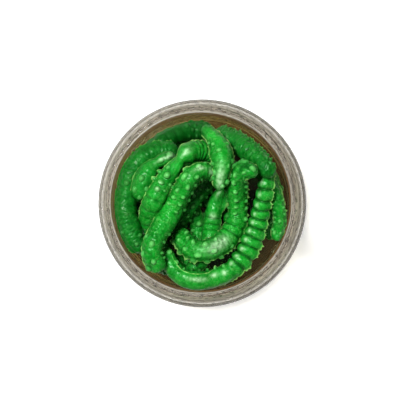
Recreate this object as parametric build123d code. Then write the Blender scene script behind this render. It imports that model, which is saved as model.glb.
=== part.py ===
from build123d import *
import os
import numpy as np

# Open clear tub of soft plastic fishing worms. Millimetres, +Z up.
# The origin is the centre of the underside of the tub, on the surface it stands on.

# Tub
TUB_HEIGHT = 40.0
BODY_RADIUS = 33.0
NECK_RADIUS = 28.9
BORE_RADIUS = 27.5
WALL = 1.4
FLOOR = 1.6
FOOT_HEIGHT = 0.8
FOOT_RADIUS = 27.0
NECK_HEIGHT = 14.0
SHOULDER_HEIGHT = 3.0
SHOULDER_ROUND = 2.4
BASE_ROUND = 2.5
LIP_CHAMFER = 0.3
LIP_ROUND = 0.35

# Screw thread on the outside of the neck
THREAD_RADIUS = 30.2
THREAD_PITCH = 4.2
THREAD_TURNS = 1.4
THREAD_TOP = 3.8
THREAD_ROOT_WIDTH = 2.0
THREAD_CREST_WIDTH = 0.8
THREAD_ROOT_BITE = 0.3

# Attractant oil, as the layer that lies under the worms
OIL_DEPTH = 1.0
OIL_RADIUS = 29.0
OIL_CLEARANCE = 0.1

# Worms
WORM_GAP = 0.25
WALL_GAP = 0.3
TIP_SHARE = 0.45
TAPER_LENGTH = 5.0
ROUTE_STEP = 1.0
CURVE_POINTS = 24
SECTION_STEP = 2.5
ROUTE_BLURS = 4
HEIGHT_BLURS = 12
STEEPEST = 0.8
BLUR = np.array([1, 4, 6, 4, 1]) / 16

# Each worm in laying order, the lowest first: its thickest radius, its plan route from tip to tip, and for
# those that are wedged against the wall, the height that each tip is held up to.
WORMS = [
    (2.4, [(-9.8, 21.1), (-16.5, 16.5), (-21.5, 9), (-23.5, 0.5), (-21.8, -8.2), (-17.2, -15.7),
           (-10.5, -20.8), (-2, -23)]),
    (2.4, [(5, 22.8), (12.5, 19.7), (18.6, 14), (22.4, 6.4), (23.4, -2), (21.4, -9.2)]),
    (2.4, [(-12, 8), (-8, 12.5), (-1, 13.5), (4.6, 10.6), (7.6, 4.5), (8, -2.5), (5, -8.5), (-0.5, -12),
           (-7, -12.5)]),
    (2.4, [(16.8, 4), (16.2, -3), (14, -10.5), (9.8, -16.8), (3.5, -20.5), (-4, -20.8), (-10, -17)]),
    (2.4, [(-5, 21), (-12.5, 19.2), (-18.4, 14), (-22.4, 6.5), (-22.9, -2.2), (-20.4, -10.5), (-15, -16.5),
           (-9, -20.5), (-3, -23)]),
    (2.4, [(0, 20.5), (6, 21.5), (13.4, 18.5), (19.3, 12.8), (22.8, 5), (22.5, -3.5)]),
    (2.4, [(-14.5, -4), (-14.8, 3), (-11.5, 10), (-5, 14.2), (2.5, 14), (9, 10), (11.8, 3.5), (11, -4),
           (7, -10)]),
    (2.6, [(3, 23.2), (-3.5, 23.6), (-10.2, 21.5), (-16, 17.5), (-20.6, 11.2), (-23.2, 3.5), (-23, -5),
           (-19, -12.6), (-13.6, -18.5), (-10, -21.4)]),
    (2.4, [(-6, 9), (-3.2, 4.9), (0.6, 1.5), (5, -1.5), (9.5, -5), (11.5, -11)], (13, 12)),
    (2.2, [(18.5, 13.2), (21.2, 8), (21.9, 1), (21.6, -5.6), (21.9, -10.8)]),
    (2.2, [(-8.6, 8.5), (-4, 1), (-1.9, -6.2), (-1.2, -13.4), (-5, -19.5)], (15, 13)),
    (2.4, [(6.2, 4.4), (4.4, 0.7), (3.1, -5.3), (2.5, -11.8), (0.1, -17.9), (-4.5, -22)]),
    (2.9, [(-8, 16.6), (-15.8, 16.2), (-21.3, 11.5), (-24, 3), (-23.6, -5), (-21.2, -11.8), (-18.6, -15)],
     (22, 26)),
    (2.4, [(-8.6, 14.4), (-13.6, 13), (-17.2, 9.2), (-18.9, 4.6), (-19.2, 1.5)]),
    (2.0, [(17, 10.8), (20, 8.3), (22.3, 4.8), (24, -1), (24.8, -7), (24.5, -11.8)], (13, 31)),
    (2.0, [(-12.6, -13.6), (-9.6, -10.6), (-6.6, -5.4), (-2.8, 0.4), (0.8, 4.6), (3.8, 7.6), (8.6, 8.4),
           (12.4, 4.6), (13.4, -1.5)]),
    (2.8, [(10.4, 7.4), (7.4, 12.6), (3.2, 15.6), (-0.8, 16.8), (-4.4, 15.9), (-7.4, 12.2), (-11, 7.4),
           (-14.7, 1.4), (-17.1, -4.6), (-16.2, -9.4)]),
    (2.6, [(20.8, 10), (19.6, 2.6), (17.7, -6.3), (14.5, -15), (10.7, -20.2), (5.2, -23.4), (-1, -24.6),
           (-6.8, -23.2), (-10.3, -18.8), (-11.3, -14.6)], (22, 22)),
    (2.9, [(4.6, 22.6), (7.6, 21.2), (11.4, 18.9), (16.5, 14.8), (20.4, 10.7), (21.8, 8.3)]),
    (2.8, [(4.8, 8.6), (1.2, 10.5), (-2.6, 9.3), (-5.2, 5.4), (-7.9, 0.2), (-11.8, -6.4), (-15.3, -12.6),
           (-15.4, -17.6), (-12.6, -20.6)]),
    (2.8, [(16.8, 8.6), (15, 10.6), (12.4, 10.2), (10.9, 7.2), (11, 2), (11.3, -4.2), (8.5, -10.7),
           (2.6, -14.8), (-2.6, -14.9), (-5.8, -12.2), (-6.8, -8.6)]),
    (3.0, [(0.6, 23.6), (3.2, 21.4), (5.5, 17.8), (6.6, 13.2), (6.1, 8.4), (5.5, 4.2)]),
]


def resample(line, step):
    """Points about every step along a line given by closely spaced points."""
    runs = np.linalg.norm(np.diff(line, axis=0), axis=1)
    along = np.concatenate([[0], np.cumsum(runs)])
    places = np.linspace(0, along[-1], max(2, round(along[-1] / step) + 1))
    return np.column_stack([np.interp(places, along, axis) for axis in line.T])


def soften(line, rounds):
    """The line with its sharp turns rounded off, and its ends left about where they are."""
    for _ in range(rounds):
        padded = np.pad(line, ((2, 2), (0, 0)), mode="reflect", reflect_type="odd")
        line = np.column_stack([np.convolve(axis, BLUR, mode="valid") for axis in padded.T])
    return line


def smooth_route(points, step):
    """A smooth curve through the route's points, as points about every step."""
    ends = np.array(points, float)
    ends = np.vstack([2 * ends[0] - ends[1], ends, 2 * ends[-1] - ends[-2]])
    u = np.linspace(0, 1, CURVE_POINTS, endpoint=False)[:, None]
    runs = []
    for a, b, c, d in zip(ends, ends[1:], ends[2:], ends[3:]):
        bend = (2 * a - 5 * b + 4 * c - d) * u**2
        twist = (3 * b - a - 3 * c + d) * u**3
        runs.append((2 * b + (c - a) * u + bend + twist) / 2)
    return soften(resample(np.vstack(runs + [ends[-2:-1]]), step), ROUTE_BLURS)


def girth(count, radius):
    """The radius at each of count evenly spaced points: full in the middle, tapered to rounded tips."""
    along = np.arange(count) * ROUTE_STEP
    from_tip = np.minimum(along, along[::-1])
    share = np.clip(from_tip / TAPER_LENGTH, 0, 1)
    return radius * (TIP_SHARE + (1 - TIP_SHARE) * np.sqrt(1 - (1 - share)**2))


def keep_in_bore(plan, radii):
    """The plan points, drawn in where the worm would touch the bore that it is lifted out through."""
    reach = np.linalg.norm(plan, axis=1)
    limit = BORE_RADIUS - WALL_GAP - radii
    return plan * (limit / np.maximum(reach, limit))[:, None]


def lowest_heights(plan, radii, laid, floor):
    """The lowest height of each point that clears the floor and every worm laid so far."""
    heights = floor + radii
    for below, below_radii in laid:
        apart = np.linalg.norm(plan[:, None] - below[None, :, :2], axis=2)
        touch = radii[:, None] + below_radii[None] + WORM_GAP
        rise = np.sqrt(np.maximum(touch**2 - apart**2, 0))
        heights = np.maximum(heights, np.where(apart < touch, below[None, :, 2] + rise, 0).max(axis=1))
    return heights


def drape(lowest):
    """A soft line over the lowest heights, which climbs and drops gently over its supports."""
    steps = ROUTE_STEP * np.arange(len(lowest))
    held = (lowest[None] - STEEPEST * np.abs(steps[:, None] - steps[None])).max(axis=1)
    line = soften(held[:, None], HEIGHT_BLURS)[:, 0]
    line = soften(np.maximum(line, held)[:, None], ROUTE_BLURS)[:, 0]
    return line + max(0, (lowest - line).max())


def lay_worms():
    """Centreline points and radii of every worm, laid one on another in the tub."""
    laid = []
    for radius, route, *wedged in WORMS:
        plan = smooth_route(route, ROUTE_STEP)
        radii = girth(len(plan), radius)
        plan = keep_in_bore(plan, radii)
        lowest = lowest_heights(plan, radii, laid, FOOT_HEIGHT + FLOOR + OIL_DEPTH + OIL_CLEARANCE)
        for first_tip, last_tip in wedged:
            lowest = np.maximum(lowest, np.linspace(first_tip, last_tip, len(lowest)))
        laid.append((np.column_stack([plan, drape(lowest)]), radii))
    return laid


def tub():
    """The clear screw-neck tub, turned about its axis, with its thread on the outside of the neck."""
    neck_bottom = TUB_HEIGHT - NECK_HEIGHT
    shoulder_bottom = neck_bottom - SHOULDER_HEIGHT
    cavity = BODY_RADIUS - WALL
    floor_top = FOOT_HEIGHT + FLOOR
    rounds = {
        (FOOT_RADIUS + FOOT_HEIGHT, 0): FOOT_HEIGHT / 2,
        (BODY_RADIUS, 0): BASE_ROUND,
        (BODY_RADIUS, shoulder_bottom): SHOULDER_ROUND,
        (NECK_RADIUS, neck_bottom): SHOULDER_ROUND,
        (NECK_RADIUS, TUB_HEIGHT): LIP_ROUND,
        (BORE_RADIUS, neck_bottom - WALL / 2): SHOULDER_ROUND,
        (cavity, shoulder_bottom - WALL / 2): SHOULDER_ROUND,
        (cavity, floor_top): BASE_ROUND - WALL / 2,
    }
    outline = [
        (0, FOOT_HEIGHT),
        (FOOT_RADIUS, FOOT_HEIGHT),
        (FOOT_RADIUS + FOOT_HEIGHT, 0),
        (BODY_RADIUS, 0),
        (BODY_RADIUS, shoulder_bottom),
        (NECK_RADIUS, neck_bottom),
        (NECK_RADIUS, TUB_HEIGHT),
        (BORE_RADIUS + LIP_CHAMFER, TUB_HEIGHT),
        (BORE_RADIUS, TUB_HEIGHT - LIP_CHAMFER),
        (BORE_RADIUS, neck_bottom - WALL / 2),
        (cavity, shoulder_bottom - WALL / 2),
        (cavity, floor_top),
        (0, floor_top),
    ]
    section = make_face(Polyline(*outline, close=True))
    for (x, y), radius in rounds.items():
        section = fillet(section.vertices().sort_by_distance((x, y, 0))[0], radius)
    shell = revolve(Plane.XZ * section, Axis.Z)
    return shell + thread()


def thread():
    """The raised thread: a trapezium carried round the neck along a helix."""
    root = NECK_RADIUS - THREAD_ROOT_BITE
    start = TUB_HEIGHT - THREAD_TOP - THREAD_PITCH * THREAD_TURNS
    path = Pos(0, 0, start) * Helix(THREAD_PITCH, THREAD_PITCH * THREAD_TURNS, NECK_RADIUS)
    half_root = THREAD_ROOT_WIDTH / 2
    half_crest = THREAD_CREST_WIDTH / 2
    ridge = make_face(Polyline((root, start - half_root), (THREAD_RADIUS, start - half_crest),
                               (THREAD_RADIUS, start + half_crest), (root, start + half_root), close=True))
    return sweep(Plane.XZ * ridge, path=path, is_frenet=True)


def oil():
    """The layer of oil on the floor of the tub."""
    on_floor = (Align.CENTER, Align.CENTER, Align.MIN)
    return Pos(0, 0, FOOT_HEIGHT + FLOOR) * Cylinder(OIL_RADIUS, OIL_DEPTH, align=on_floor)


def worm(line, radii):
    """A plain round worm: circles square to its centreline, lofted from each to the next, and fused."""
    count = round(len(line) * ROUTE_STEP / SECTION_STEP) + 1
    picks = np.linspace(0, len(line) - 1, count).round().astype(int)
    ahead = np.gradient(line, axis=0)
    sections = []
    for pick in picks:
        forward = Vector(*ahead[pick]).normalized()
        sideways = forward.cross(Vector(0, 0, 1)).normalized()
        sections.append(Plane(Vector(*line[pick]), x_dir=sideways, z_dir=forward) * Circle(radii[pick]))
    lengths = [loft([here, there], ruled=True) for here, there in zip(sections, sections[1:])]
    return lengths[0].fuse(*lengths[1:])


def write(name, solid):
    """One STEP file per named solid."""
    export_step(solid, f"parts/{name}.step")


os.makedirs("parts", exist_ok=True)
write("tub", tub())
write("oil", oil())
for number, (line, radii) in enumerate(lay_worms(), start=1):
    write(f"worm_{number:02d}", worm(line, radii))
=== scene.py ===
# Looks, light and camera for an open, clear tub of soft plastic worms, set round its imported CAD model.

import math
from types import SimpleNamespace

import bpy
import numpy as np
from mathutils import Matrix, Vector


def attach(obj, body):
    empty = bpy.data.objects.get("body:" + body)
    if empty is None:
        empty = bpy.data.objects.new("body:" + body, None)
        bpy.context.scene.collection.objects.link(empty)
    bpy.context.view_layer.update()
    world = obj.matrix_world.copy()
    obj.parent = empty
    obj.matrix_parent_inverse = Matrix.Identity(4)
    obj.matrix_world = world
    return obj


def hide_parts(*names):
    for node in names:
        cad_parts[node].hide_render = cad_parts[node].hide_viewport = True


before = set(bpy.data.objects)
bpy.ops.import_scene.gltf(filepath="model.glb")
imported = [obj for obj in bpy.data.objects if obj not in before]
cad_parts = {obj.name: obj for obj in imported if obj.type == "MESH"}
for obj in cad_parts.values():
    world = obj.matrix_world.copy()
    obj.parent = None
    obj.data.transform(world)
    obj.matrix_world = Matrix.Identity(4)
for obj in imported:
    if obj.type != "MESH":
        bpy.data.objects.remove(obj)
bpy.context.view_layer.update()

# Lengths are in millimetres up to the moment a mesh, a material, a light or the camera is made.
MM = 0.001

# The tub, as in the CAD
TUB_HEIGHT = 40.0
BODY_RADIUS = 33.0
BORE_RADIUS = 27.5
WALL = 1.4
FLOOR = 1.6
FOOT_HEIGHT = 0.8
NECK_HEIGHT = 14.0
SHOULDER_HEIGHT = 3.0
BASE_ROUND = 2.5
OIL_DEPTH = 1.0
OIL_CLEARANCE = 0.1

# How the worms lie, as in the CAD
WORM_GAP = 0.25
WALL_GAP = 0.3
TIP_SHARE = 0.45
TAPER_LENGTH = 5.0
ROUTE_STEP = 1.0
CURVE_POINTS = 24
ROUTE_BLURS = 4
HEIGHT_BLURS = 12
STEEPEST = 0.8
BLUR = np.array([1, 4, 6, 4, 1]) / 16

# Each worm in laying order, the lowest first: its thickest radius, its plan route from tip to tip, and for
# those that are wedged against the wall, the height that each tip is held up to.
WORMS = [
    (2.4, [(-9.8, 21.1), (-16.5, 16.5), (-21.5, 9), (-23.5, 0.5), (-21.8, -8.2), (-17.2, -15.7),
           (-10.5, -20.8), (-2, -23)]),
    (2.4, [(5, 22.8), (12.5, 19.7), (18.6, 14), (22.4, 6.4), (23.4, -2), (21.4, -9.2)]),
    (2.4, [(-12, 8), (-8, 12.5), (-1, 13.5), (4.6, 10.6), (7.6, 4.5), (8, -2.5), (5, -8.5), (-0.5, -12),
           (-7, -12.5)]),
    (2.4, [(16.8, 4), (16.2, -3), (14, -10.5), (9.8, -16.8), (3.5, -20.5), (-4, -20.8), (-10, -17)]),
    (2.4, [(-5, 21), (-12.5, 19.2), (-18.4, 14), (-22.4, 6.5), (-22.9, -2.2), (-20.4, -10.5), (-15, -16.5),
           (-9, -20.5), (-3, -23)]),
    (2.4, [(0, 20.5), (6, 21.5), (13.4, 18.5), (19.3, 12.8), (22.8, 5), (22.5, -3.5)]),
    (2.4, [(-14.5, -4), (-14.8, 3), (-11.5, 10), (-5, 14.2), (2.5, 14), (9, 10), (11.8, 3.5), (11, -4),
           (7, -10)]),
    (2.6, [(3, 23.2), (-3.5, 23.6), (-10.2, 21.5), (-16, 17.5), (-20.6, 11.2), (-23.2, 3.5), (-23, -5),
           (-19, -12.6), (-13.6, -18.5), (-10, -21.4)]),
    (2.4, [(-6, 9), (-3.2, 4.9), (0.6, 1.5), (5, -1.5), (9.5, -5), (11.5, -11)], (13, 12)),
    (2.2, [(18.5, 13.2), (21.2, 8), (21.9, 1), (21.6, -5.6), (21.9, -10.8)]),
    (2.2, [(-8.6, 8.5), (-4, 1), (-1.9, -6.2), (-1.2, -13.4), (-5, -19.5)], (15, 13)),
    (2.4, [(6.2, 4.4), (4.4, 0.7), (3.1, -5.3), (2.5, -11.8), (0.1, -17.9), (-4.5, -22)]),
    (2.9, [(-8, 16.6), (-15.8, 16.2), (-21.3, 11.5), (-24, 3), (-23.6, -5), (-21.2, -11.8), (-18.6, -15)],
     (22, 26)),
    (2.4, [(-8.6, 14.4), (-13.6, 13), (-17.2, 9.2), (-18.9, 4.6), (-19.2, 1.5)]),
    (2.0, [(17, 10.8), (20, 8.3), (22.3, 4.8), (24, -1), (24.8, -7), (24.5, -11.8)], (13, 31)),
    (2.0, [(-12.6, -13.6), (-9.6, -10.6), (-6.6, -5.4), (-2.8, 0.4), (0.8, 4.6), (3.8, 7.6), (8.6, 8.4),
           (12.4, 4.6), (13.4, -1.5)]),
    (2.8, [(10.4, 7.4), (7.4, 12.6), (3.2, 15.6), (-0.8, 16.8), (-4.4, 15.9), (-7.4, 12.2), (-11, 7.4),
           (-14.7, 1.4), (-17.1, -4.6), (-16.2, -9.4)]),
    (2.6, [(20.8, 10), (19.6, 2.6), (17.7, -6.3), (14.5, -15), (10.7, -20.2), (5.2, -23.4), (-1, -24.6),
           (-6.8, -23.2), (-10.3, -18.8), (-11.3, -14.6)], (22, 22)),
    (2.9, [(4.6, 22.6), (7.6, 21.2), (11.4, 18.9), (16.5, 14.8), (20.4, 10.7), (21.8, 8.3)]),
    (2.8, [(4.8, 8.6), (1.2, 10.5), (-2.6, 9.3), (-5.2, 5.4), (-7.9, 0.2), (-11.8, -6.4), (-15.3, -12.6),
           (-15.4, -17.6), (-12.6, -20.6)]),
    (2.8, [(16.8, 8.6), (15, 10.6), (12.4, 10.2), (10.9, 7.2), (11, 2), (11.3, -4.2), (8.5, -10.7),
           (2.6, -14.8), (-2.6, -14.9), (-5.8, -12.2), (-6.8, -8.6)]),
    (3.0, [(0.6, 23.6), (3.2, 21.4), (5.5, 17.8), (6.6, 13.2), (6.1, 8.4), (5.5, 4.2)]),
]


def resample(line, step):
    """Points about every step along a line given by closely spaced points."""
    runs = np.linalg.norm(np.diff(line, axis=0), axis=1)
    along = np.concatenate([[0], np.cumsum(runs)])
    places = np.linspace(0, along[-1], max(2, round(along[-1] / step) + 1))
    return np.column_stack([np.interp(places, along, axis) for axis in line.T])


def soften(line, rounds):
    """The line with its sharp turns rounded off, and its ends left about where they are."""
    for _ in range(rounds):
        padded = np.pad(line, ((2, 2), (0, 0)), mode="reflect", reflect_type="odd")
        line = np.column_stack([np.convolve(axis, BLUR, mode="valid") for axis in padded.T])
    return line


def smooth_route(points, step):
    """A smooth curve through the route's points, as points about every step."""
    ends = np.array(points, float)
    ends = np.vstack([2 * ends[0] - ends[1], ends, 2 * ends[-1] - ends[-2]])
    u = np.linspace(0, 1, CURVE_POINTS, endpoint=False)[:, None]
    runs = []
    for a, b, c, d in zip(ends, ends[1:], ends[2:], ends[3:]):
        bend = (2 * a - 5 * b + 4 * c - d) * u**2
        twist = (3 * b - a - 3 * c + d) * u**3
        runs.append((2 * b + (c - a) * u + bend + twist) / 2)
    return soften(resample(np.vstack(runs + [ends[-2:-1]]), step), ROUTE_BLURS)


def girth(count, radius):
    """The radius at each of count evenly spaced points: full in the middle, tapered to rounded tips."""
    along = np.arange(count) * ROUTE_STEP
    from_tip = np.minimum(along, along[::-1])
    share = np.clip(from_tip / TAPER_LENGTH, 0, 1)
    return radius * (TIP_SHARE + (1 - TIP_SHARE) * np.sqrt(1 - (1 - share)**2))


def keep_in_bore(plan, radii):
    """The plan points, drawn in where the worm would touch the bore that it is lifted out through."""
    reach = np.linalg.norm(plan, axis=1)
    limit = BORE_RADIUS - WALL_GAP - radii
    return plan * (limit / np.maximum(reach, limit))[:, None]


def lowest_heights(plan, radii, laid, floor):
    """The lowest height of each point that clears the floor and every worm laid so far."""
    heights = floor + radii
    for below, below_radii in laid:
        apart = np.linalg.norm(plan[:, None] - below[None, :, :2], axis=2)
        touch = radii[:, None] + below_radii[None] + WORM_GAP
        rise = np.sqrt(np.maximum(touch**2 - apart**2, 0))
        heights = np.maximum(heights, np.where(apart < touch, below[None, :, 2] + rise, 0).max(axis=1))
    return heights


def drape(lowest):
    """A soft line over the lowest heights, which climbs and drops gently over its supports."""
    steps = ROUTE_STEP * np.arange(len(lowest))
    held = (lowest[None] - STEEPEST * np.abs(steps[:, None] - steps[None])).max(axis=1)
    line = soften(held[:, None], HEIGHT_BLURS)[:, 0]
    line = soften(np.maximum(line, held)[:, None], ROUTE_BLURS)[:, 0]
    return line + max(0, (lowest - line).max())


def lay_worms():
    """Centreline points and radii of every worm, laid one on another in the tub."""
    laid = []
    for radius, route, *wedged in WORMS:
        plan = smooth_route(route, ROUTE_STEP)
        radii = girth(len(plan), radius)
        plan = keep_in_bore(plan, radii)
        lowest = lowest_heights(plan, radii, laid, FOOT_HEIGHT + FLOOR + OIL_DEPTH + OIL_CLEARANCE)
        for first_tip, last_tip in wedged:
            lowest = np.maximum(lowest, np.linspace(first_tip, last_tip, len(lowest)))
        laid.append((np.column_stack([plan, drape(lowest)]), radii))
    return laid


# ---- Worm surfaces: the mould's settings -------------------------------------

# The first worm in sight from above. The ones before it get a coarser mesh.
FIRST_VISIBLE = 9

# The length of a mesh step along a worm, and the number of points round it
FINE = (0.16, 80)
COARSE = (0.3, 48)

# Random draws start from this seed plus the worm's number. Noise is smoothed over this many cells each way.
FIRST_SEED = 100
NOISE_REACH = 1.5

# The body: how much fuller than the CAD tube, how far its tips reach out and how they are rounded
PLUMP = 1.06
TIP_OUT = 0.5
TIP_ROUND = 3.4
TIP_POWER = 2.3
LINE_BLURS = 12

# How much the girth wanders, and over what length
UNEVEN = 0.03
UNEVEN_LENGTH = 4

# Where the mould's halves met, in degrees, how much the mesh crowds there, and how far an unlisted worm rolls
SEAMS = (90, -90)
SEAM_CROWDING = 0.5
ANY_ROLL = 12

# Ribs: how softly a run starts and ends, how blunt a rib is, what level counts as flush, and how ribs sway
RUN_FADE = 1.2
RIB_POWER = 0.55
RIB_FLUSH = 0.75
RIB_SWAY = 0.05
RIB_SWAY_LENGTH = 3
RIB_SWAY_SHARE = 6

# Lumps: their height, their length and how many of them go round a worm
LUMPS = 0.05
LUMP_LENGTH = 1.6
LUMPS_ROUND = 9

# Nubs: their scale, the shape of the dome and of the moat round it, and how unevenly a run of them lies
NUB_SIZE = 1.32
NUB_HEIGHT = 1.25
NUB_REACH = 1.8
NUB_POWER = 0.6
THINNEST = 0.8
MOAT = 0.13
MOAT_RADIUS = 1.12
MOAT_WIDTH = 0.22
NUB_SHIFT = 0.35
NUB_TURN = 7
NUB_SIZES = (0.85, 1.12)
NUB_HEIGHTS = (0.8, 1.15)
LAST_NUB = 0.3

# Flats: half their width in degrees, and how square their ends are
FLAT_WIDTH = 32
FLAT_POWER = 4

# Painted highlights on the ribs, as light spots: half length as a share of the pitch, and half width in
# degrees
RIB_HIGHLIGHT_LENGTH = 0.2
RIB_HIGHLIGHT_WIDTH = 11

# Wrinkles: their height, their pitch and the degrees that they slant in a millimetre
WRINKLE = 0.05
WRINKLE_PITCH = 0.55
WRINKLE_SLANT = 30

# Fine grain and long streaks: their heights and sizes
GRAIN = 0.03
GRAIN_SIZE = 0.4
STREAKS = 0.02
STREAK_LENGTH = 2.5
STREAK_WIDTH = 0.35

# Flash, the thin edge on each seam: how it dies away at the tips, wanders, tears into teeth and spreads
FIN = 1.3
FIN_FADE = 2
FIN_STEADY = 0.65
FIN_WANDER = 0.35
FIN_WANDER_LENGTH = 1.2
FIN_BESIDE = 0.45
FIRST_TOOTH = (1, 2)
TOOTH_PITCH = 1.15
TOOTH_CHANCE = 0.6
TOOTH_WIDTHS = (0.35, 0.8)
TOOTH_SHARES = (0.3, 1)
TOOTH_FOOT = 0.5

# The seam's bright line, a painted highlight where light catches and shines through the thin flash: its least
# share, its share on the points beside it, what painted shade and oil take away, and the share of the nubs'
# painted highlight left beside the seam
SEAM_HIGHLIGHT_LEAST = 0.25
SEAM_HIGHLIGHT_BESIDE = 0.4
SEAM_HIGHLIGHT_LOST = 0.75
NUB_HIGHLIGHT_BESIDE = 0.3

# Leaves: how softly they start and end, and their share of width on the points beside the seam
LEAF_START = 1.5
LEAF_END = 3
LEAF_SPREAD = ((1, 0.55), (2, 0.25), (3, 0.08))

# Details calm down over this length at the tips, to this share, and are pressed in on the underside.
TIP_CALM = 1.2
TIP_REST = 0.05
PRESSED = 0.75
PRESSED_SLOPE = 0.6

# A dent of this depth gets the full painted shade of a hollow.
DENT_SHADE_DEPTH = 0.28

# How dark each worm is painted, from 0 for bright to about 1 for dark: painted shade for worms that lie
# deeper in the pile, partly standing for oil that has got into them; and the same for the hidden ones, which
# aren't listed
SHADE_AND_SOAK = {8: 1.15, 9: 0.55, 10: 0.55, 11: 0.4, 12: 0.15, 13: 0.8, 14: 0.5, 15: 0.3, 16: 0.65, 17: 0.05,
          18: 0.05, 19: 0.75, 20: 0.05, 21: 0.0, 22: 0.0}
HIDDEN_SHADE_AND_SOAK = 0.3

# How much more painted shade a worm's flanks get than its top, as they face away from the light, and the
# upward slope below which that starts
FLANK_SHADE = 0.95
HIDDEN_FLANK_SHADE = 0.3
FLANK_SHADE_TOP = 0.75

# How far the extra painted shade of a sunk length spills over at each end, and how softly
SUNK_SHADE_SPILL = 2
SUNK_SHADE_FADE = 3
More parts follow.
